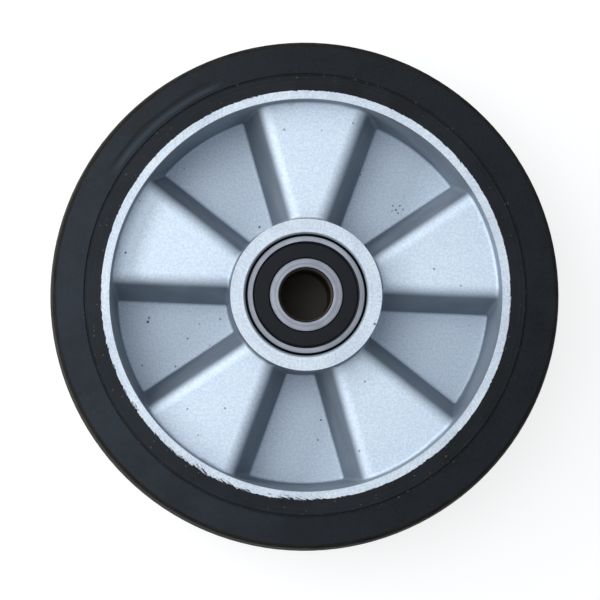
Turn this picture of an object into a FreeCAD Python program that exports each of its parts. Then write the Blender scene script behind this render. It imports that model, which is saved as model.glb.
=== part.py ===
import FreeCAD, Part
import math
import os

# A rubber-tyred trolley wheel, lying on its side with its axle along Z.
# The origin is the middle of the wheel. Lengths are in millimetres, angles in degrees.

# Whole wheel
wheel_width = 50.0

# Tyre: solid rubber, bonded to the rim and faced off flush with it
tyre_diameter = 200.0
rubber_thickness = 21.0
crown_radius = 105.0
crown_angle = 8.5
shoulder_radius = 2.0
faced_band_width = 5.7
crease_width = 1.0
crease_depth = 0.6
sidewall_step = 0.3
sidewall_fall = 0.4

# Wheel centre: one aluminium casting
rim_face_width = 3.2
hub_wall = 5.8
casting_draft = 2.0
core_overrun = 1.0

# Corrugated web: sectors that step in turn between two levels
sector_pairs = 5
first_wall_angle = 33.8
shallow_pocket_depth = 8.0
web_thickness = 5.0
wall_thickness = 2.8
wall_draft = 12.3
crest_radius = 5.5
root_radius = 1.4

# Bearing seats in the hub
bearing_recess = 1.0
seat_chamfer = 0.8
shoulder_lip = 2.7

# Bearings: sealed deep-groove ball bearings, 20 mm bore, 47 mm across and 14 mm wide
bearing_bore = 20.0
inner_ring_wall = 4.4
land_gap = 5.0
outer_ring_wall = 4.1
ring_corner = 1.0
ball_count = 8
ball_diameter = 7.938
ball_play = 0.02
groove_relief = 0.159

# Seals, one at each end of each bearing
seal_thickness = 1.4
seal_recess = 0.4
seal_gap = 0.431
seat_step = 1.3
lip_step = 0.45
lip_play = 0.05
seal_rim_width = 1.1
seal_dish = 0.35

# Cage: two pressed steel halves, riveted between the balls
cage_sheet = 0.7
cage_play = 0.1
cage_side_gap = 0.8
rivet_diameter = 1.2
rivet_play = 0.02
rivet_head_diameter = 2.0
rivet_head_height = 0.45

# Spacer tube between the inner rings
spacer_play = 0.2
spacer_wall = 2.8

# Worked out from the above
half_width = wheel_width / 2
tyre_radius = tyre_diameter / 2
rim_radius = tyre_radius - rubber_thickness
sector_angle = 180.0 / sector_pairs
web_top = half_width - shallow_pocket_depth
deep_floor = web_thickness - web_top

bore_radius = bearing_bore / 2
inner_land_radius = bore_radius + inner_ring_wall
outer_land_radius = inner_land_radius + land_gap
bearing_radius = outer_land_radius + outer_ring_wall
pitch_radius = (bore_radius + bearing_radius) / 2
ball_radius = ball_diameter / 2
groove_radius = ball_radius + groove_relief
hub_radius = bearing_radius + hub_wall

pocket_radius = ball_radius + cage_play
cup_radius = pocket_radius + cage_sheet
cage_inner_radius = inner_land_radius + cage_side_gap
cage_outer_radius = outer_land_radius - cage_side_gap

seal_floor = cup_radius + seal_gap
seal_top = seal_floor + seal_thickness
seat_radius = outer_land_radius + seat_step
lip_radius = inner_land_radius - lip_step
half_bearing = seal_top + seal_recess
bearing_centre = half_width - bearing_recess - half_bearing
shoulder_face = bearing_centre - half_bearing


def at(radius, height, angle=0.0):
    """The point at a radius, a height and an angle about the axle."""
    turn = math.radians(angle)
    return FreeCAD.Vector(radius * math.cos(turn), radius * math.sin(turn), height)


def rounded_outline(corners):
    """A closed face through (radius, height, corner radius) points in the XZ plane."""
    points = [at(radius, height) for radius, height, _ in corners]
    edges = []
    count = len(points)
    starts, ends, arcs = [], [], []
    for i, (_, _, rounding) in enumerate(corners):
        here = points[i]
        before = (points[i - 1] - here).normalize()
        after = (points[(i + 1) % count] - here).normalize()
        if not rounding:
            starts.append(here)
            ends.append(here)
            arcs.append(None)
            continue
        half_turn = before.getAngle(after) / 2
        reach = rounding / math.tan(half_turn)
        bisector = (before + after).normalize()
        middle = here + bisector * (rounding / math.sin(half_turn) - rounding)
        starts.append(here + before * reach)
        ends.append(here + after * reach)
        arcs.append(middle)
    for i in range(count):
        if arcs[i]:
            edges.append(Part.Arc(starts[i], arcs[i], ends[i]).toShape())
        edges.append(Part.makeLine(ends[i], starts[(i + 1) % count]))
    return Part.Face(Part.Wire(edges))


def turned(face):
    """A full turn of a section in the XZ plane about the axle."""
    return face.revolve(FreeCAD.Vector(0, 0, 0), FreeCAD.Vector(0, 0, 1), 360)


def sharp(*points):
    """Points with no rounding at their corners."""
    return [(radius, height, 0) for radius, height in points]


def both_sides(corners):
    """A section given for the upper half, completed by its mirror image below."""
    lower = [(radius, -height, rounding) for radius, height, rounding in reversed(corners)]
    return corners + lower


def ring(inner_radius, outer_radius, bottom, top):
    """A plain ring about the axle."""
    outer = Part.makeCylinder(outer_radius, top - bottom, at(0, bottom))
    inner = Part.makeCylinder(inner_radius, top - bottom, at(0, bottom))
    return outer.cut(inner)


def lifted(shape, height):
    """The shape moved along the axle."""
    copy = shape.copy()
    copy.translate(at(0, height))
    return copy


def tyre():
    """The rubber ring: a flat faced band, a crease, a side, a tight shoulder and a crowned tread."""
    slope = math.radians(crown_angle)
    apex = tyre_radius + crown_radius * (1 / math.cos(slope) - 1)
    band_edge = rim_radius + faced_band_width
    side_top = half_width - sidewall_step
    shoulder_top = side_top - sidewall_fall
    upper = [
        (apex - shoulder_top * math.tan(slope), shoulder_top, shoulder_radius),
        (band_edge + crease_width, side_top, 0),
        (band_edge + crease_width / 2, side_top - crease_depth, 0),
        (band_edge, half_width, 0),
        (rim_radius, half_width, 0),
    ]
    return turned(rounded_outline([(apex, 0, crown_radius)] + both_sides(upper)))


def rim_wall_radius(height):
    """Inner radius of the rim at a height on the side that faces the core's mouth."""
    return rim_radius - rim_face_width - (half_width - height) * math.tan(math.radians(casting_draft))


def hub_wall_radius(height):
    """Outer radius of the hub at a height on the side that faces the core's mouth."""
    return hub_radius + (half_width - height) * math.tan(math.radians(casting_draft))


def wall_offset(height):
    """How far a slanted wall's face stands from its sector's boundary, on the deep side."""
    return wall_thickness / 2 - height * math.tan(math.radians(wall_draft))


def raised_side(wall_angle, side):
    """Everything on one side of a slanted wall, up to the shallow level, with a rounded crest.

    Side 1 is counter-clockwise of the wall, and -1 is clockwise.
    """
    below = deep_floor - core_overrun
    corners = [
        (wall_offset(web_top), web_top, crest_radius),
        (wall_offset(below), below, 0),
        (-tyre_radius, below, 0),
        (-tyre_radius, web_top, 0),
    ]
    block = rounded_outline(corners).extrude(FreeCAD.Vector(0, tyre_radius, 0))
    if side < 0:
        block = block.mirror(FreeCAD.Vector(0, 0, 0), FreeCAD.Vector(1, 0, 0))
    block.rotate(FreeCAD.Vector(0, 0, 0), FreeCAD.Vector(0, 0, 1), wall_angle - 90)
    return block


def core():
    """The space that the front of the casting leaves open: a shallow ring with deep fingers."""
    mouth = half_width + core_overrun
    corners = sharp(
        (hub_wall_radius(deep_floor), deep_floor),
        (rim_wall_radius(deep_floor), deep_floor),
        (rim_wall_radius(mouth), mouth),
        (hub_wall_radius(mouth), mouth),
    )
    space = turned(rounded_outline(corners))
    middle_of_raised = first_wall_angle - sector_angle / 2
    space.rotate(FreeCAD.Vector(0, 0, 0), FreeCAD.Vector(0, 0, 1), middle_of_raised)
    for pair in range(sector_pairs):
        wall_angle = first_wall_angle + 2 * pair * sector_angle
        behind = raised_side(wall_angle, -1)
        ahead = raised_side(wall_angle - sector_angle, 1)
        space = space.cut(behind.common(ahead))
    roots = [edge for edge in space.Edges if is_root(edge)]
    return space.makeFillet(root_radius, roots)


def is_root(edge):
    """Is the edge a corner of the pocket's floors and walls, and not a line along a smooth face?"""
    inside = edge.BoundBox.ZMax < half_width
    at_floor = edge.BoundBox.ZMax < deep_floor + root_radius
    return inside and (at_floor or not isinstance(edge.Curve, Part.Line))


def wheel_centre():
    """The casting: a disc less a front core, the same core turned over, and the hub's bore."""
    disc = Part.makeCylinder(rim_radius, wheel_width, at(0, -half_width))
    front_core = core()
    back_core = front_core.copy()
    back_core.rotate(FreeCAD.Vector(0, 0, 0), at(1, 0, first_wall_angle), 180)
    return disc.cut(front_core).cut(back_core).cut(hub_bore())


def hub_bore():
    """The stepped hole through the hub: a chamfered bearing seat at each end and a shoulder between."""
    mouth = half_width + core_overrun
    upper = sharp(
        (0, mouth),
        (bearing_radius + seat_chamfer + core_overrun, mouth),
        (bearing_radius, half_width - seat_chamfer),
        (bearing_radius, shoulder_face),
        (bearing_radius - shoulder_lip, shoulder_face),
    )
    return turned(rounded_outline(both_sides(upper)))


def outer_ring():
    """A bearing's outer ring, about its own middle: a ball groove between two seal seats."""
    upper = [
        (bearing_radius, half_bearing, ring_corner),
        (seat_radius, half_bearing, 0),
        (seat_radius, seal_floor, 0),
        (outer_land_radius, seal_floor, 0),
    ]
    groove = Part.makeTorus(pitch_radius + ball_radius + ball_play - groove_radius, groove_radius)
    return turned(rounded_outline(both_sides(upper))).cut(groove)


def inner_ring():
    """A bearing's inner ring, about its own middle: a ball groove between two lower lip lands."""
    upper = [
        (inner_land_radius, seal_floor, 0),
        (lip_radius, seal_floor, 0),
        (lip_radius, half_bearing, 0),
        (bore_radius, half_bearing, ring_corner),
    ]
    groove = Part.makeTorus(pitch_radius - ball_radius - ball_play + groove_radius, groove_radius)
    return turned(rounded_outline(both_sides(upper))).cut(groove)


def seal(side):
    """A rubber washer in the outer ring's seat, whose lip runs on the inner ring. Side 1 is on top."""
    inner_radius = lip_radius + lip_play
    corners = sharp(
        (inner_radius, seal_floor),
        (inner_radius, seal_top - seal_dish),
        (inner_radius + seal_rim_width / 2, seal_top),
        (seat_radius - seal_rim_width, seal_top),
        (seat_radius - seal_rim_width / 2, seal_top - seal_dish),
        (seat_radius, seal_top),
        (seat_radius, seal_floor),
    )
    upright = [(radius, side * height, rounding) for radius, height, rounding in corners]
    return turned(rounded_outline(upright))


def ball_places():
    """The middle of each ball about a bearing's own middle."""
    return [at(pitch_radius, 0, 360.0 * i / ball_count) for i in range(ball_count)]


def rivet_places():
    """The middle of each rivet, halfway between two balls."""
    return [at(pitch_radius, 0, 360.0 * (i + 0.5) / ball_count) for i in range(ball_count)]


def cage_half(side):
    """One pressed half of a cage: a flat band with a cup over each ball. Side 1 is on top."""
    band = ring(cage_inner_radius, cage_outer_radius, 0, cage_sheet)
    limits = ring(cage_inner_radius, cage_outer_radius, 0, cup_radius)
    cups = [Part.makeSphere(cup_radius, place).common(limits) for place in ball_places()]
    pockets = [Part.makeSphere(pocket_radius, place) for place in ball_places()]
    hole_radius = rivet_diameter / 2 + rivet_play
    holes = [Part.makeCylinder(hole_radius, cage_sheet, place) for place in rivet_places()]
    half = band.fuse(cups).cut(pockets + holes).removeSplitter()
    if side < 0:
        half = half.mirror(FreeCAD.Vector(0, 0, 0), FreeCAD.Vector(0, 0, 1))
    return half


def cage_rivets():
    """The rivets of one cage: a shank through both halves with a domed head at each end."""
    head_radius = rivet_head_diameter / 2
    shank_radius = rivet_diameter / 2
    dome_radius = (head_radius**2 + rivet_head_height**2) / (2 * rivet_head_height)
    dome = Part.makeSphere(dome_radius, at(0, cage_sheet + rivet_head_height - dome_radius))
    above = Part.makeCylinder(head_radius, rivet_head_height, at(0, cage_sheet))
    head = dome.common(above)
    shank = Part.makeCylinder(shank_radius, 2 * cage_sheet, at(0, -cage_sheet))
    foot = head.mirror(FreeCAD.Vector(0, 0, 0), FreeCAD.Vector(0, 0, 1))
    rivet = shank.fuse([head, foot])
    rivets = []
    for place in rivet_places():
        copy = rivet.copy()
        copy.translate(place)
        rivets.append(copy)
    return Part.makeCompound(rivets)


def spacer_tube():
    """The tube that keeps the two inner rings apart on the axle."""
    inner_radius = bore_radius + spacer_play
    return ring(inner_radius, inner_radius + spacer_wall, -shoulder_face, shoulder_face)


def bearing(end, height, outward):
    """All pieces of one bearing, by name, at their place along the axle."""
    pieces = {
        "outer_ring": outer_ring(),
        "inner_ring": inner_ring(),
        "outer_seal": seal(outward),
        "inner_seal": seal(-outward),
        "cage_outer_half": cage_half(outward),
        "cage_inner_half": cage_half(-outward),
        "cage_rivets": cage_rivets(),
    }
    for number, place in enumerate(ball_places(), 1):
        pieces[f"ball_{number}"] = Part.makeSphere(ball_radius, place)
    return {f"{end}_{name}": lifted(shape, height) for name, shape in pieces.items()}


def wheel():
    """Every piece of the wheel, by name."""
    pieces = {
        "tyre": tyre(),
        "wheel_centre": wheel_centre(),
        "spacer_tube": spacer_tube(),
    }
    pieces.update(bearing("front", bearing_centre, 1))
    pieces.update(bearing("back", -bearing_centre, -1))
    return pieces


os.makedirs("parts", exist_ok=True)
for node, shape in wheel().items():
    shape.exportStep(f"parts/{node}.step")
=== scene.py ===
import math

import bmesh
import bpy
from mathutils import Matrix, Vector, noise


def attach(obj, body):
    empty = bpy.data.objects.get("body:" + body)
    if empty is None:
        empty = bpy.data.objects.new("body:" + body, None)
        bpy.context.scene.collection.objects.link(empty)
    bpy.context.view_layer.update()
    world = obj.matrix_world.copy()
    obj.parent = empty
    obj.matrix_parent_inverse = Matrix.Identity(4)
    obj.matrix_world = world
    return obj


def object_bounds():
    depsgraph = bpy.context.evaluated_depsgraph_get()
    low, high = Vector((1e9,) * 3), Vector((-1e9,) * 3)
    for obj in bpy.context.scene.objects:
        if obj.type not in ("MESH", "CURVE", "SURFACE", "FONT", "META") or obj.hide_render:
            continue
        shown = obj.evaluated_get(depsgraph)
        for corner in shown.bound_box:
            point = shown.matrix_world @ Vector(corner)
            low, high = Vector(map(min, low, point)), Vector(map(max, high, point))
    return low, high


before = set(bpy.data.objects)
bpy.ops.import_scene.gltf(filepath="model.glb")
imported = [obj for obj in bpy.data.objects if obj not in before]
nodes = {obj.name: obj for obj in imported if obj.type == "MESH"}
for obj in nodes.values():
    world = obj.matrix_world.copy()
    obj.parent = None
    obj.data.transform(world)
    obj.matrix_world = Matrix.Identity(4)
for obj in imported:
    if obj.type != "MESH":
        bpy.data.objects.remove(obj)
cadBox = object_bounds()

scene = bpy.context.scene
topFace = cadBox[1].z          # the wheel's front face
floorLevel = cadBox[0].z       # it lies on its back face
millimetre = 0.001
print("frame loaded:", len(nodes), "nodes")


class Tree:
    # a shader tree, with short calls that add nodes and join them
    columns, across, down = 12, 190, -260      # how nodes are laid out in the editor
    noiseRange = (0.3, 0.7)                    # where noise has nearly all of its values

    def __init__(self, tree):
        self.tree = tree
        self.count = 0

    def add(self, kind, values=None, **settings):
        node = self.tree.nodes.new(kind)
        row, column = divmod(self.count, self.columns)
        node.location = (column * self.across, row * self.down)
        self.count += 1
        for name, value in settings.items():
            setattr(node, name, value)
        self.fill(node, values or {})
        return node

    def fill(self, node, values):
        for name, value in values.items():
            self.put(node.inputs[name], value)

    def put(self, socket, value):
        if isinstance(value, bpy.types.NodeSocket):
            self.tree.links.new(value, socket)
        else:
            socket.default_value = value

    def group(self, tree, **values):
        return self.add("ShaderNodeGroup", values, node_tree=tree).outputs

    def math(self, operation, *values):
        return self.add("ShaderNodeMath", dict(enumerate(values)), operation=operation).outputs[0]

    def times(self, first, *others):
        for other in others:
            first = self.math("MULTIPLY", first, other)
        return first

    def weighted(self, *pairs):
        # the sum of values, each times its own weight
        total = 0.0
        for value, weight in pairs:
            total = self.math("MULTIPLY_ADD", value, weight, total)
        return total

    def rest(self, share):
        return self.math("SUBTRACT", 1.0, share)

    def gap(self, value, middle):
        return self.math("ABSOLUTE", self.math("SUBTRACT", value, middle))

    def facing(self, angle, middle):
        # 1 in the middle direction, falling to -1 on the far side
        return self.math("COSINE", self.math("SUBTRACT", angle, middle))

    def ramp(self, value, low, high, newLow=0.0, newHigh=1.0):
        # values from low to high become newLow to newHigh, held beyond both ends
        values = {"Value": value, "From Min": low, "From Max": high,
                  "To Min": newLow, "To Max": newHigh}
        node = self.add("ShaderNodeMapRange", values, interpolation_type="SMOOTHSTEP")
        return node.outputs["Result"]

    def fall(self, value, low, high, top=1.0):
        # top up to the low value, falling to 0 at the high one
        return self.ramp(value, low, high, top, 0.0)

    def choose(self, share, off, on):
        return self.ramp(share, 0.0, 1.0, off, on)

    def mix(self, share, first, second):
        values = {"Factor": share, 6: first, 7: second}      # 6 and 7 are its colour sockets
        return self.add("ShaderNodeMix", values, data_type="RGBA").outputs[2]

    def combine(self, x, y, z):
        return self.add("ShaderNodeCombineXYZ", {"X": x, "Y": y, "Z": z}).outputs[0]

    def distance(self, first, second):
        values = {0: first, 1: second}
        return self.add("ShaderNodeVectorMath", values, operation="DISTANCE").outputs["Value"]

    def place(self):
        return self.add("ShaderNodeTexCoord").outputs["Object"]

    def level(self):
        # 1 where the surface lies level, and 0 on a plumb wall
        normal = self.add("ShaderNodeNewGeometry").outputs["Normal"]
        split = self.add("ShaderNodeSeparateXYZ", {"Vector": normal}).outputs
        return self.math("ABSOLUTE", split["Z"])

    def noise(self, vector, scale, detail=2.0, roughness=0.5):
        values = {"Vector": vector, "Scale": scale, "Detail": detail, "Roughness": roughness}
        return self.add("ShaderNodeTexNoise", values).outputs["Fac"]

    def lineNoise(self, value, scale, detail=2.0, roughness=0.5):
        values = {"W": value, "Scale": scale, "Detail": detail, "Roughness": roughness}
        return self.add("ShaderNodeTexNoise", values, noise_dimensions="1D").outputs["Fac"]

    def clouds(self, vector, scale, detail, roughness):
        # noise spread over the whole range from 0 to 1
        return self.ramp(self.noise(vector, scale, detail, roughness), *self.noiseRange)

    def bump(self, height, strength, depth):
        values = {"Height": height, "Strength": strength, "Distance": depth}
        return self.add("ShaderNodeBump", values).outputs["Normal"]


def newGroup(name, inputs, outputs):
    # an empty shader group with number sockets, for an effect that materials share
    tree = bpy.data.node_groups.new(name, "ShaderNodeTree")
    sockets = tree.interface
    for label, value in inputs.items():
        socket = sockets.new_socket(name=label, in_out="INPUT", socket_type="NodeSocketFloat")
        socket.default_value = value
    for label in outputs:
        sockets.new_socket(name=label, in_out="OUTPUT", socket_type="NodeSocketFloat")
    work = Tree(tree)
    return work, work.add("NodeGroupInput").outputs, work.add("NodeGroupOutput")


def newMaterial(name):
    material = bpy.data.materials.new(name)
    material.use_nodes = True
    material.node_tree.nodes.clear()
    work = Tree(material.node_tree)
    output = work.add("ShaderNodeOutputMaterial")
    shader = work.add("ShaderNodeBsdfPrincipled")
    work.fill(output, {"Surface": shader.outputs[0]})
    return material, work, shader, output


def linear(red, green, blue):
    # a colour as a paint program shows it, 0 to 255, in the shader's own numbers
    def one(level):
        level /= 255
        return level / 12.92 if level <= 0.04045 else ((level + 0.055) / 1.055) ** 2.4
    return (one(red), one(green), one(blue), 1.0)


def dress(name, material):
    nodes[name].data.materials.clear()
    nodes[name].data.materials.append(material)


# the shared effects: scales are in waves or cells per metre, and a pair is the range of raw
# values that an effect spreads from 0 to 1
effects = {
    "ringWander": 25.0,
    "broadRings": 0.23,          # as a share of the fine rings
    "ringPatches": 70.0,
    "ringShade": (0.28, 0.72),
    "slantShade": (0.36, 0.66),
    "specks": 1500.0,
    "mottle": 1000.0,
    "fineShade": (0.84, 1.16),
    "dimples": 1000.0,
    "dimpleHeight": 0.5,
    "speckHeight": 0.6,
    "clouds": 38.0,
    "pitEdge": (0.0, 0.06),
}


def makeAxlePlaces():
    # where a point is about the axle: its radius, its height and its direction
    work, _, result = newGroup("axlePlaces", {}, ["Radius", "Height", "Angle"])
    split = work.add("ShaderNodeSeparateXYZ", {"Vector": work.place()}).outputs
    x, y = split["X"], split["Y"]
    square = work.math("ADD", work.times(x, x), work.times(y, y))
    work.fill(result, {"Radius": work.math("SQRT", square), "Height": split["Z"],
                       "Angle": work.math("ARCTAN2", y, x)})
    return work.tree


def makeTurnedMarks():
    # the fine rings that a lathe leaves
    work, inputs, result = newGroup("turnedMarks", {"Rings": 6000.0, "Wander": 0.4},
                                    ["Height", "Shade"])
    place = work.place()
    wander = work.times(work.noise(place, effects["ringWander"], detail=1.0), inputs["Wander"])
    radius = work.group(axlePlaces)["Radius"]
    along = work.math("MULTIPLY_ADD", radius, inputs["Rings"], wander)
    fine = work.lineNoise(along, scale=1.0, detail=3.0, roughness=0.7)
    broad = work.lineNoise(along, effects["broadRings"], detail=2.0, roughness=0.6)
    patches = work.noise(place, effects["ringPatches"], detail=3.0, roughness=0.6)
    shade = work.times(work.math("ADD", fine, broad), patches)
    work.fill(result, {"Height": fine, "Shade": work.ramp(shade, *effects["ringShade"])})
    return work.tree


def makeSlantMarks():
    # short scratches that lie across a ring, leaning one way
    work, inputs, result = newGroup("slantMarks", {"Count": 90.0, "Lean": 700.0, "Length": 260.0},
                                    ["Shade"])
    about = work.group(axlePlaces)
    lean = work.times(about["Radius"], inputs["Lean"])
    across = work.math("MULTIPLY_ADD", about["Angle"], inputs["Count"], lean)
    along = work.times(about["Radius"], inputs["Length"])
    place = work.combine(across, along, about["Height"])
    streaks = work.noise(place, scale=1.0, detail=4.0, roughness=0.7)
    work.fill(result, {"Shade": work.ramp(streaks, *effects["slantShade"])})
    return work.tree


def makeBlastedGrain():
    # the peened skin of a casting, from fine dimples to wide clouds
    work, _, result = newGroup("blastedGrain", {}, ["Height", "Fine", "Clouds"])
    place = work.place()
    specks = work.noise(place, effects["specks"], detail=3.0, roughness=0.65)
    mottle = work.noise(place, effects["mottle"], detail=2.0, roughness=0.6)
    dimples = work.add("ShaderNodeTexVoronoi", {"Vector": place, "Scale": effects["dimples"]},
                       feature="SMOOTH_F1").outputs["Distance"]
    work.fill(result, {
        "Height": work.weighted((dimples, effects["dimpleHeight"]), (specks, effects["speckHeight"])),
        "Fine": work.ramp(work.math("ADD", specks, mottle), *effects["fineShade"]),
        "Clouds": work.clouds(place, effects["clouds"], detail=3.0, roughness=0.5),
    })
    return work.tree


def makePits():
    # sparse round pores: 1 inside a pore and 0 elsewhere
    work, inputs, result = newGroup("pits", {"Scale": 160.0, "Share": 0.05, "Size": 0.25}, ["Mask"])
    cells = work.add("ShaderNodeTexVoronoi", {"Vector": work.place(), "Scale": inputs["Scale"]})
    drawn = work.add("ShaderNodeSeparateColor", {"Color": cells.outputs["Color"]}).outputs
    chosen = work.math("LESS_THAN", drawn[0], inputs["Share"])
    width = work.times(drawn[1], inputs["Size"])
    inside = work.math("SUBTRACT", width, cells.outputs["Distance"])
    work.fill(result, {"Mask": work.times(work.ramp(inside, *effects["pitEdge"]), chosen)})
    return work.tree


axlePlaces = makeAxlePlaces()
turnedMarks = makeTurnedMarks()
slantMarks = makeSlantMarks()
blastedGrain = makeBlastedGrain()
pits = makePits()
print("shared effects made")


# each pair of radii, heights or levels is where one look starts to give way to the next, and
# where it has
casting = {
    "floorPale": linear(233, 244, 255),      # blasted skin on level places
    "floorDull": linear(211, 225, 242),
    "fineShare": 0.7,                        # its mottling: how much is fine, and how much wide
    "cloudShare": 0.3,
    "wallShadePale": linear(152, 162, 174),       # painted shade: the steep walls darker than the level places
    "wallShadeDull": linear(128, 138, 150),
    "wallToFloor": (0.28, 1.0),              # how level it lies, from 0 to 1
    "turnedPale": linear(241, 248, 255),     # rim and hub faces, turned on a lathe
    "turnedDull": linear(194, 206, 222),
    "markShare": 0.34,                       # for the rings, and again for the scratches
    "turnedGrain": 0.32,
    "faceHeight": topFace - 0.1 * millimetre,    # above it the casting is turned
    "skinMetallic": 0.5,
    "skinRoughness": 0.6,
    "turnedMetallic": 0.3,
    "turnedRoughness": 0.65,
    "cloudRoughness": 0.08,
    "dirtRoughness": 0.25,
    "pore": linear(52, 60, 72),
    "poreShade": 0.85,
    "poreCore": 1 / 1.4,                     # a pore is dark to this share of its size
    "poreEdge": 1 / 0.7,                     # and gone at this one
    "smallPits": {"Scale": 480.0, "Share": 0.045, "Size": 0.28},
    "smallPitShade": 0.6,
    "seatDirtAndShade": linear(24, 28, 33),          # dirt and painted shade in the gap round the bearing
    "seatRadius": (0.0234, 0.0237),
    "seatHeight": (0.0241, 0.0247),
    "rootShadeColour": linear(84, 92, 102),        # painted shade where a raised floor meets the hub
    "rootShade": 0.6,
    "rootRadius": (0.0299, 0.0309),
    "rootBottom": (0.0160, 0.0168),
    "rootTop": (0.0245, 0.0249),
    "markRelief": 0.25,
    "slantRelief": 0.4,
    "poreRelief": -1.2,
    "bump": 0.5,
    "bumpDepth": 0.14 * millimetre,
}

# pores that the photo shows, in millimetres: x, y and z, and the size
castPores = [
    ((37.2, 35.4, -12), 0.36), ((36.0, 37.1, -12), 0.28), ((38.8, 37.0, -12), 0.30),
    ((40.0, 35.6, -12), 0.26), ((38.1, 34.0, -12), 0.28), ((35.6, 35.0, -12), 0.24),
    ((-17.6, 28.4, -12), 0.42), ((-62.3, -9.7, -12), 0.50), ((-61.8, -8.1, -12), 0.36),
    ((-46.4, -16.3, -12), 0.32), ((-51.2, -27.5, -12), 0.32), ((7.0, -48.9, -12), 0.34),
    ((5.8, -56.9, -12), 0.30), ((-69.9, 16.5, 17), 0.38), ((26.4, -11.3, 25), 0.42),
    ((18.6, 67.2, 17), 0.30),
]

rimEdge = {
    "radius": 0.0790,                        # where metal meets rubber on the turned face
    "bite": 0.0005,                          # how deep rubber is dragged in all round
    "tornBite": 0.0027,                      # and where the tool tore the edge most
    "tornMiddle": math.radians(238),
    "tornSpread": math.radians(48),
    "tornFull": 0.97,                        # the cosine of the angle within which all is torn
    "stretches": 150.0,                      # stretches of deep and of shallow bites, per metre
    "shallowToDeep": (0.38, 0.62),
    "shallowest": 0.15,
    "deepest": 1.5,
    "count": -62.0,                          # with the lean, slashes nearly follow the rim
    "lean": 2600.0,
    "length": 26.0,
    "thinning": 0.32,                        # how fast slashes thin out inwards
    "slashEdge": (0.43, 0.47),
}


def makeTornRegion():
    # 1 where the turning tool tore the rim's edge most, falling to 0 away from there
    work, _, result = newGroup("tornRegion", {}, ["Mask"])
    near = work.facing(work.group(axlePlaces)["Angle"], rimEdge["tornMiddle"])
    torn = work.ramp(near, math.cos(rimEdge["tornSpread"]), rimEdge["tornFull"])
    work.fill(result, {"Mask": torn})
    return work.tree


def makeRubberBites():
    # slanted slashes of rubber in the outer edge of the rim's turned face
    work, _, result = newGroup("rubberBites", {}, ["Mask"])
    about = work.group(axlePlaces)
    lean = work.times(about["Radius"], rimEdge["lean"])
    across = work.math("MULTIPLY_ADD", about["Angle"], rimEdge["count"], lean)
    along = work.times(about["Angle"], rimEdge["length"])
    slashes = work.noise(work.combine(across, along, 0.0), scale=1.0, detail=3.0, roughness=0.6)
    torn = work.group(tornRegion)["Mask"]
    more = rimEdge["tornBite"] - rimEdge["bite"]
    deepest = work.math("MULTIPLY_ADD", torn, more, rimEdge["bite"])
    stretches = work.noise(work.place(), rimEdge["stretches"])
    uneven = work.ramp(stretches, *rimEdge["shallowToDeep"], rimEdge["shallowest"], rimEdge["deepest"])
    inside = work.math("SUBTRACT", rimEdge["radius"], about["Radius"])
    reached = work.math("DIVIDE", inside, work.times(deepest, uneven))
    level = work.weighted((slashes, 1.0), (reached, -rimEdge["thinning"]))
    isFace = work.math("GREATER_THAN", work.math("ABSOLUTE", about["Height"]), casting["faceHeight"])
    work.fill(result, {"Mask": work.times(work.ramp(level, *rimEdge["slashEdge"]), isFace)})
    return work.tree


tornRegion = makeTornRegion()
rubberBites = makeRubberBites()


def listedPores(work):
    place = work.place()
    total = 0.0
    for (x, y, z), size in castPores:
        gap = work.distance(place, (x * millimetre, y * millimetre, z * millimetre))
        core, edge = (size * millimetre * casting[part] for part in ("poreCore", "poreEdge"))
        total = work.math("MAXIMUM", total, work.fall(gap, core, edge))
    return total


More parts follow.
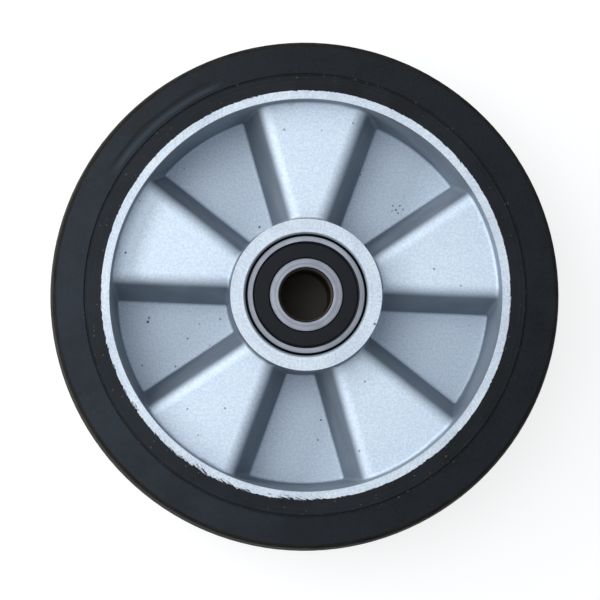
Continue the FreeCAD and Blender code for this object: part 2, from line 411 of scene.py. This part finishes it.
def makeCastAluminium():
    material, work, shader, _ = newMaterial("castAluminium")
    about = work.group(axlePlaces)
    radius, height = about["Radius"], work.math("ABSOLUTE", about["Height"])
    marks = work.group(turnedMarks)
    slants = work.group(slantMarks)["Shade"]
    grain = work.group(blastedGrain)
    isTurned = work.math("GREATER_THAN", height, casting["faceHeight"])

    mottle = work.weighted((grain["Fine"], casting["fineShare"]), (grain["Clouds"], casting["cloudShare"]))
    floorSkin = work.mix(mottle, casting["floorDull"], casting["floorPale"])
    # painted shade: steep walls take darker colours than level places
    shadedWalls = work.mix(grain["Clouds"], casting["wallShadeDull"], casting["wallShadePale"])
    skin = work.mix(work.ramp(work.level(), *casting["wallToFloor"]), shadedWalls, floorSkin)
    # painted shade in the corner where a raised floor meets the hub
    inRoot = work.times(work.fall(radius, *casting["rootRadius"], casting["rootShade"]),
                        work.ramp(height, *casting["rootBottom"]),
                        work.fall(height, *casting["rootTop"]))
    skin = work.mix(inRoot, skin, casting["rootShadeColour"])
    scratched = work.weighted((marks["Shade"], casting["markShare"]), (slants, casting["markShare"]),
                              (grain["Fine"], casting["turnedGrain"]))
    turned = work.mix(scratched, casting["turnedDull"], casting["turnedPale"])
    metal = work.mix(isTurned, skin, turned)

    smallPits = work.group(pits, **casting["smallPits"])["Mask"]
    pores = work.math("MAXIMUM", listedPores(work), work.times(smallPits, casting["smallPitShade"]))
    metal = work.mix(work.times(pores, casting["poreShade"]), metal, casting["pore"])
    # dirt and painted shade in the gap round the bearing
    inSeat = work.times(work.fall(radius, *casting["seatRadius"]),
                        work.fall(height, *casting["seatHeight"]))
    metal = work.mix(inSeat, metal, casting["seatDirtAndShade"])
    bites = work.group(rubberBites)["Mask"]
    covered = work.math("MAXIMUM", bites, inSeat)

    metallic = work.choose(isTurned, casting["skinMetallic"], casting["turnedMetallic"])
    rough = work.choose(isTurned, casting["skinRoughness"], casting["turnedRoughness"])
    turnedRelief = work.math("MULTIPLY_ADD", slants, casting["slantRelief"], marks["Height"])
    relief = work.weighted((work.times(grain["Height"], work.rest(isTurned)), 1.0),
                           (work.times(turnedRelief, isTurned), casting["markRelief"]),
                           (work.math("MAXIMUM", pores, bites), casting["poreRelief"]))
    work.fill(shader, {
        "Base Color": work.mix(bites, metal, rubber["facedDark"]),
        "Metallic": work.times(metallic, work.rest(covered)),
        "Roughness": work.weighted((rough, 1.0), (grain["Clouds"], casting["cloudRoughness"]),
                                   (covered, casting["dirtRoughness"])),
        "Normal": work.bump(relief, casting["bump"], casting["bumpDepth"]),
    })
    return material


rubber = {
    "facedPale": linear(31, 35, 41),         # the band that is turned with the rim
    "facedDark": linear(13, 15, 19),
    "facedRings": 5200.0,
    "facedClouds": 0.5,
    "facedMarks": 0.5,
    "sidePale": linear(29, 34, 41),          # the moulded side outside the crease
    "sideDark": linear(14, 16, 21),
    "sideClouds": 0.6,
    "sideGrain": 0.4,
    "sideStart": (0.0848, 0.0853),
    "treadPale": linear(44, 42, 40),
    "treadDark": linear(25, 24, 23),
    "treadStart": (0.0958, 0.0966),
    "treadWipes": (2.2, 260.0),              # per radian round it, and per metre across it
    "paintedSheen": linear(58, 68, 78),              # painted sheen: a pale reflection, strongest to one side
    "sheenMiddle": math.radians(195),
    "sheenReach": -0.2,                       # the cosine at which it starts
    "sheenShare": 0.30,
    "sheenEven": 0.6,                         # the even part of it, and the part in clouds
    "sheenClouds": 0.5,
    "facedSheen": 0.35,                       # how much of it lies on the turned band
    "creaseRadius": 0.0852,
    "creaseShadeColour": linear(12, 13, 16),        # painted shade: the rubber darkens towards the crease
    "creaseShade": 0.15,
    "creaseWidth": (0.0002, 0.0011),
    "creaseDustAndLight": linear(96, 98, 100),       # dust and painted light in the crease itself, lifting its shade
    "dustAndLightShare": 0.25,
    "dustAndLightWidth": (0.0001, 0.0004),
    "speck": linear(120, 116, 108),          # single specks along the crease
    "specks": {"Scale": 900.0, "Share": 0.16, "Size": 0.5},
    "speckShare": 0.4,
    "speckWidth": (0.0003, 0.0009),
    "grit": linear(112, 98, 86),             # brown grit, most of it on the turned band
    "gritSpecks": {"Scale": 820.0, "Share": 0.12, "Size": 0.34},
    "facedGrit": 0.45,
    "sideGrit": 0.06,
    "arcRadius": 0.0898,                     # a faint second crease on part of the front, drawn as a thin line of painted shade and a bump
    "arcMiddle": math.radians(130),
    "arcSpread": math.radians(19),
    "arcFull": math.radians(13.3),
    "arcWidth": 0.0011,
    "arcWander": 0.0012,
    "arcShade": 0.8,
    "bandRadius": 0.0876,                    # the paler band between the two creases
    "bandWidth": (0.0004, 0.0012),
    "bandShare": 0.5,
    "roughness": 0.5,
    "treadRoughness": 0.15,                  # added on the tread
    "cloudRoughness": 0.12,
    "specular": 0.2,
    "treadSpecular": 0.08,
    "ringRelief": 0.5,
    "grainRelief": 0.25,
    "bump": 0.35,
    "bumpDepth": 0.15 * millimetre,
}


def makeTyreRubber():
    material, work, shader, _ = newMaterial("tyreRubber")
    about = work.group(axlePlaces)
    radius, height, angle = about["Radius"], about["Height"], about["Angle"]
    marks = work.group(turnedMarks, Rings=rubber["facedRings"])
    place = work.place()
    clouds = work.clouds(place, scale=60.0, detail=5.0, roughness=0.7)
    fine = work.clouds(place, scale=900.0, detail=3.0, roughness=0.6)
    isOuter = work.ramp(radius, *rubber["sideStart"])
    isTread = work.ramp(radius, *rubber["treadStart"])

    ringed = work.weighted((clouds, rubber["facedClouds"]), (marks["Shade"], rubber["facedMarks"]))
    faced = work.mix(ringed, rubber["facedDark"], rubber["facedPale"])
    mottle = work.weighted((clouds, rubber["sideClouds"]), (fine, rubber["sideGrain"]))
    side = work.mix(mottle, rubber["sideDark"], rubber["sidePale"])
    # painted sheen: the side paler towards one direction
    toSheen = work.ramp(work.facing(angle, rubber["sheenMiddle"]), rubber["sheenReach"], 1.0,
                       0.0, rubber["sheenShare"])
    paintedSheen = work.times(toSheen, work.math("MULTIPLY_ADD", clouds, rubber["sheenClouds"], rubber["sheenEven"]))
    side = work.mix(paintedSheen, side, rubber["paintedSheen"])
    faced = work.mix(work.times(paintedSheen, rubber["facedSheen"]), faced, rubber["paintedSheen"])
    perRadian, perMetre = rubber["treadWipes"]
    unrolled = work.combine(work.times(angle, perRadian), work.times(height, perMetre), 0.0)
    wiped = work.noise(unrolled, scale=5.0, detail=5.0, roughness=0.65)
    tread = work.mix(work.ramp(wiped, *work.noiseRange), rubber["treadDark"], rubber["treadPale"])
    colour = work.mix(isTread, work.mix(isOuter, faced, side), tread)

    wander = work.math("SUBTRACT", work.noise(place, scale=60.0), 0.5)
    bent = work.math("MULTIPLY_ADD", wander, rubber["arcWander"], radius)
    onArc = work.times(work.ramp(work.facing(angle, rubber["arcMiddle"]),
                                 math.cos(rubber["arcSpread"]), math.cos(rubber["arcFull"])),
                       work.math("GREATER_THAN", height, 0.0))
    arc = work.times(onArc, work.fall(work.gap(bent, rubber["arcRadius"]), 0.0, rubber["arcWidth"]))
    # painted shade along the faint second crease
    colour = work.mix(work.times(arc, rubber["arcShade"]), colour, rubber["creaseShadeColour"])
    offBand = work.gap(radius, rubber["bandRadius"])
    band = work.times(onArc, work.fall(offBand, *rubber["bandWidth"], rubber["bandShare"]))
    colour = work.mix(band, colour, rubber["paintedSheen"])

    offCrease = work.gap(radius, rubber["creaseRadius"])
    # painted shade darkening the rubber near the crease
    shaded = work.fall(offCrease, *rubber["creaseWidth"], rubber["creaseShade"])
    colour = work.mix(shaded, colour, rubber["creaseShadeColour"])
    # dust and painted light paling the crease itself
    dustyAndLit = work.fall(offCrease, *rubber["dustAndLightWidth"], rubber["dustAndLightShare"])
    colour = work.mix(dustyAndLit, colour, rubber["creaseDustAndLight"])
    specks = work.times(work.group(pits, **rubber["specks"])["Mask"],
                        work.fall(offCrease, *rubber["speckWidth"], rubber["speckShare"]))
    colour = work.mix(specks, colour, rubber["speck"])
    grit = work.times(work.group(pits, **rubber["gritSpecks"])["Mask"],
                      work.choose(isOuter, rubber["facedGrit"], rubber["sideGrit"]))

    relief = work.weighted((work.times(marks["Height"], work.rest(isOuter)), rubber["ringRelief"]),
                           (work.times(wiped, isTread), 1.0),
                           (fine, rubber["grainRelief"]), (arc, -1.0))
    work.fill(shader, {
        "Base Color": work.mix(grit, colour, rubber["grit"]),
        "Roughness": work.math("ADD", rubber["roughness"],
                               work.weighted((isTread, rubber["treadRoughness"]),
                                             (clouds, rubber["cloudRoughness"]))),
        "Specular IOR Level": work.choose(isTread, rubber["specular"], rubber["treadSpecular"]),
        "Normal": work.bump(relief, rubber["bump"], rubber["bumpDepth"]),
    })
    return material


steels = {
    "bearingSteel": {"pale": linear(160, 163, 173), "dull": linear(136, 139, 149),
                     "roughness": 0.38, "rings": 5200.0, "edges": 0.97,
                     "outerShade": (0.0223, 0.0227)},
    "cageSteel": {"pale": linear(176, 171, 163), "dull": linear(142, 136, 129),
                  "roughness": 0.34, "rings": 2500.0, "edges": 0.3},
    "ballSteel": {"pale": linear(228, 229, 233), "dull": linear(212, 214, 220),
                  "roughness": 0.10, "rings": 900.0, "edges": 0.0},
    "spacerSteel": {"pale": linear(82, 75, 68), "dull": linear(50, 45, 41),
                    "roughness": 0.55, "rings": 3500.0, "edges": 0.0},
}

# what all steels share; edges, above, is how far painted shade darkens their rounded edges
steelWear = {
    "edgeShade": linear(20, 20, 21),
    "roundToLevel": (0.90, 0.995),
    "shadeRoughness": 0.2,
    "boreFilm": linear(88, 79, 70),          # brown oil and rust inside the bore
    "boreRadius": (0.0101, 0.0103),
    "markRoughness": 0.08,
    "bump": 0.15,
    "bumpDepth": 0.05 * millimetre,
}


def makeSteel(name):
    steel = steels[name]
    material, work, shader, _ = newMaterial(name)
    radius = work.group(axlePlaces)["Radius"]
    marks = work.group(turnedMarks, Rings=steel["rings"])
    colour = work.mix(marks["Shade"], steel["dull"], steel["pale"])
    # painted shade on rounded edges, in place of their highlights
    edgeShaded = work.fall(work.level(), *steelWear["roundToLevel"], steel["edges"])
    if "outerShade" in steel:
        # and painted shade in the gap at the outer ring's outer corner
        edgeShaded = work.math("MAXIMUM", edgeShaded, work.ramp(radius, *steel["outerShade"]))
    colour = work.mix(edgeShaded, colour, steelWear["edgeShade"])
    inBore = work.fall(radius, *steelWear["boreRadius"])
    rough = work.choose(marks["Shade"], steel["roughness"] + steelWear["markRoughness"], steel["roughness"])
    work.fill(shader, {
        "Base Color": work.mix(inBore, colour, steelWear["boreFilm"]),
        "Metallic": work.rest(inBore),
        "Roughness": work.math("MULTIPLY_ADD", edgeShaded, steelWear["shadeRoughness"], rough),
        "Normal": work.bump(marks["Height"], steelWear["bump"], steelWear["bumpDepth"]),
    })
    return material


seal = {
    "pale": linear(21, 24, 31),
    "dull": linear(14, 17, 23),
    "roughness": 0.45,
    "cloudRoughness": 0.1,
    "specular": 0.2,
    "bump": 0.12,
    "bumpDepth": 0.08 * millimetre,
}


def makeSealRubber():
    material, work, shader, _ = newMaterial("sealRubber")
    place = work.place()
    clouds = work.clouds(place, scale=90.0, detail=3.0, roughness=0.6)
    fine = work.noise(place, scale=1400.0)
    work.fill(shader, {
        "Base Color": work.mix(clouds, seal["dull"], seal["pale"]),
        "Roughness": work.math("MULTIPLY_ADD", clouds, seal["cloudRoughness"], seal["roughness"]),
        "Specular IOR Level": seal["specular"],
        "Normal": work.bump(fine, seal["bump"], seal["bumpDepth"]),
    })
    return material


castAluminium = makeCastAluminium()
dress("wheel_centre", castAluminium)
dress("tyre", makeTyreRubber())
dress("spacer_tube", makeSteel("spacerSteel"))

# the bearings' nodes, by the first of these words that their name holds
finishes = {"ball": makeSteel("ballSteel"), "cage": makeSteel("cageSteel"),
            "ring": makeSteel("bearingSteel"), "seal": makeSealRubber()}
for nodeName in nodes:
    for word, material in finishes.items():
        if word in nodeName:
            dress(nodeName, material)
            break
print("finishes made")


burr = {
    "innerRadius": 0.0784,
    "depth": 0.04 * millimetre,              # how far it lies into the face, and proud of it
    "shortTooth": 0.25 * millimetre,
    "tornTooth": 0.6 * millimetre,           # where the tool tore the edge most
    "lean": 1.9,                             # how far a tooth leans sideways, by its length
    "steps": 2400,
    "leastShare": 0.15,
    # ragged at three sizes: waves per radian, how strong, and a place in the noise
    "waves": ((17, 0.9, 0.0), (95, 0.5, 4.0), (260, 0.9, 8.0)),
}


def toothLength(angle, seed):
    # how far the smeared metal reaches over the rubber in one direction
    away = abs((angle - rimEdge["tornMiddle"] + math.pi) % (2 * math.pi) - math.pi)
    torn = max(0.0, 1.0 - (away / rimEdge["tornSpread"]) ** 2)
    share = burr["leastShare"]
    for perRadian, strength, layer in burr["waves"]:
        share += noise.noise(Vector((angle * perRadian, seed, layer))) * strength
    longest = burr["shortTooth"] + torn * (burr["tornTooth"] - burr["shortTooth"])
    return max(0.0, share) * longest


def onlyVerts(parts):
    return [part for part in parts if isinstance(part, bmesh.types.BMVert)]


def makeObject(name, shape, material):
    mesh = bpy.data.meshes.new(name)
    shape.to_mesh(mesh)
    shape.free()
    mesh.materials.append(material)
    made = bpy.data.objects.new(name, mesh)
    scene.collection.objects.link(made)
    return made


def makeBurr(name, side, seed):
    # the thin torn lip that turning drags from the rim over the rubber
    shape = bmesh.new()
    bmesh.ops.create_circle(shape, cap_ends=False, segments=burr["steps"], radius=burr["innerRadius"])
    grown = bmesh.ops.extrude_edge_only(shape, edges=shape.edges[:])["geom"]
    for vertex in onlyVerts(grown):
        angle = math.atan2(vertex.co.y, vertex.co.x) % (2 * math.pi)
        length = toothLength(angle, seed)
        radius = rimEdge["radius"] + length
        turn = angle + length * burr["lean"] / radius
        vertex.co = (radius * math.cos(turn), radius * math.sin(turn), 0.0)
    raised = bmesh.ops.extrude_face_region(shape, geom=shape.faces[:])["geom"]
    bmesh.ops.translate(shape, verts=onlyVerts(raised), vec=(0, 0, burr["depth"] * 2))
    bmesh.ops.translate(shape, verts=shape.verts, vec=(0, 0, topFace - burr["depth"]))
    if side == "back":
        turnOver = Matrix.Rotation(math.pi, 3, "X")
        bmesh.ops.rotate(shape, verts=shape.verts, cent=(0, 0, 0), matrix=turnOver)
    bmesh.ops.recalc_face_normals(shape, faces=shape.faces)
    piece = makeObject(name, shape, castAluminium)
    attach(piece, "wheel")


makeBurr("front_rim_burr", "front", seed=3.0)
makeBurr("back_rim_burr", "back", seed=11.0)
print("rim burrs made")


studio = {
    "floorSize": 6.0,
    "floorColour": (0.93, 0.93, 0.93, 1.0),
    "floorRoughness": 0.9,
    "floorGlow": 0.65,                       # how much of the white floor is seen unshaded
    "glowStrength": 1.2,                     # keeps it white where the lamps' light falls off
    "underShadow": linear(120, 113, 106),    # painted shadow: the floor darker under the wheel, seen through the bore
    "underShadowRadius": (0.05, 0.06),
    "worldColour": (0.86, 0.94, 1.0, 1.0),
    "worldStrength": 0.38,
    "lampColour": (0.97, 0.985, 1.0),
}

# tilt is away from straight above, and towards is a way in the floor, from +X to +Y
lamps = {
    "highLamp": {"power": 10.0, "width": 1.2, "height": 1.2, "distance": 1.8,
                 "tilt": math.radians(20), "towards": math.radians(155)},
    "lowLamp": {"power": 4.8, "width": 1.6, "height": 0.24, "distance": 0.8,
                "tilt": math.radians(53), "towards": math.radians(160)},
}

view = {
    "distance": 0.930,                       # from the level of the origin
    "tilt": math.radians(2.5),
    "towards": math.radians(229),
    "lens": 141.0,
    "sensor": 36.0,
    "nearest": 0.01,
    "facePixel": (306.3, 294.6),             # the middle of the front face, in the photo
    "imageWidth": 600.0,
}


def leaning(tilt, towards):
    sideways = math.sin(tilt)
    return Vector((sideways * math.cos(towards), sideways * math.sin(towards), math.cos(tilt)))


def makeFloor():
    shape = bmesh.new()
    bmesh.ops.create_grid(shape, x_segments=1, y_segments=1, size=studio["floorSize"] / 2)
    bmesh.ops.translate(shape, verts=shape.verts, vec=(0, 0, floorLevel))
    material, work, shader, output = newMaterial("whiteFloor")
    # painted shadow: the floor darker under the wheel, unlit by the glow
    outsideShadow = work.ramp(work.group(axlePlaces)["Radius"], *studio["underShadowRadius"])
    work.fill(shader, {"Base Color": work.mix(outsideShadow, studio["underShadow"], studio["floorColour"]),
                       "Roughness": studio["floorRoughness"]})
    glow = work.add("ShaderNodeEmission", {"Color": (1, 1, 1, 1), "Strength": studio["glowStrength"]})
    rays = work.add("ShaderNodeLightPath").outputs
    mirrored = work.math("MAXIMUM", rays["Is Glossy Ray"], rays["Is Transmission Ray"])
    seen = work.math("MAXIMUM", rays["Is Camera Ray"], mirrored)
    share = work.times(seen, outsideShadow, studio["floorGlow"])
    both = work.add("ShaderNodeMixShader", {0: share, 1: shader.outputs[0], 2: glow.outputs[0]})
    work.fill(output, {"Surface": both.outputs[0]})
    makeObject("floor", shape, material)


def makeLamp(name):
    values = lamps[name]
    lamp = bpy.data.lights.new(name, "AREA")
    lamp.shape = "ELLIPSE"
    lamp.size = values["width"]
    lamp.size_y = values["height"]
    lamp.energy = values["power"]
    lamp.color = studio["lampColour"]
    holder = bpy.data.objects.new(name, lamp)
    place = leaning(values["tilt"], values["towards"]) * values["distance"]
    turn = (-place).to_track_quat("-Z", "Y").to_matrix().to_4x4()
    holder.matrix_world = Matrix.Translation(place) @ turn
    scene.collection.objects.link(holder)


def makeLight():
    world = bpy.data.worlds.new("studio")
    world.use_nodes = True
    sky = world.node_tree.nodes["Background"]
    sky.inputs["Color"].default_value = studio["worldColour"]
    sky.inputs["Strength"].default_value = studio["worldStrength"]
    scene.world = world
    for name in lamps:
        makeLamp(name)


def makeCamera():
    back = leaning(view["tilt"], view["towards"])
    right = Vector((0, 1, 0)).cross(back).normalized()
    up = back.cross(right)
    reach = view["distance"] - topFace
    data = bpy.data.cameras.new("camera")
    data.lens = view["lens"]
    data.sensor_width = view["sensor"]
    data.clip_start = view["nearest"]
    # the face's middle isn't in the middle of the picture, so the camera aims beside it
    pixel = reach * view["sensor"] / view["lens"] / view["imageWidth"]
    middle = view["imageWidth"] / 2
    faceX, faceY = view["facePixel"]
    aim = Vector(((middle - faceX) * pixel, (faceY - middle) * pixel, topFace))
    camera = bpy.data.objects.new("camera", data)
    place = Matrix((right, up, back)).transposed().to_4x4()
    place.translation = aim + back * reach
    camera.matrix_world = place
    scene.collection.objects.link(camera)
    scene.camera = camera


makeFloor()
makeLight()
makeCamera()
scene.view_settings.view_transform = "Standard"
print("floor, light and camera made")
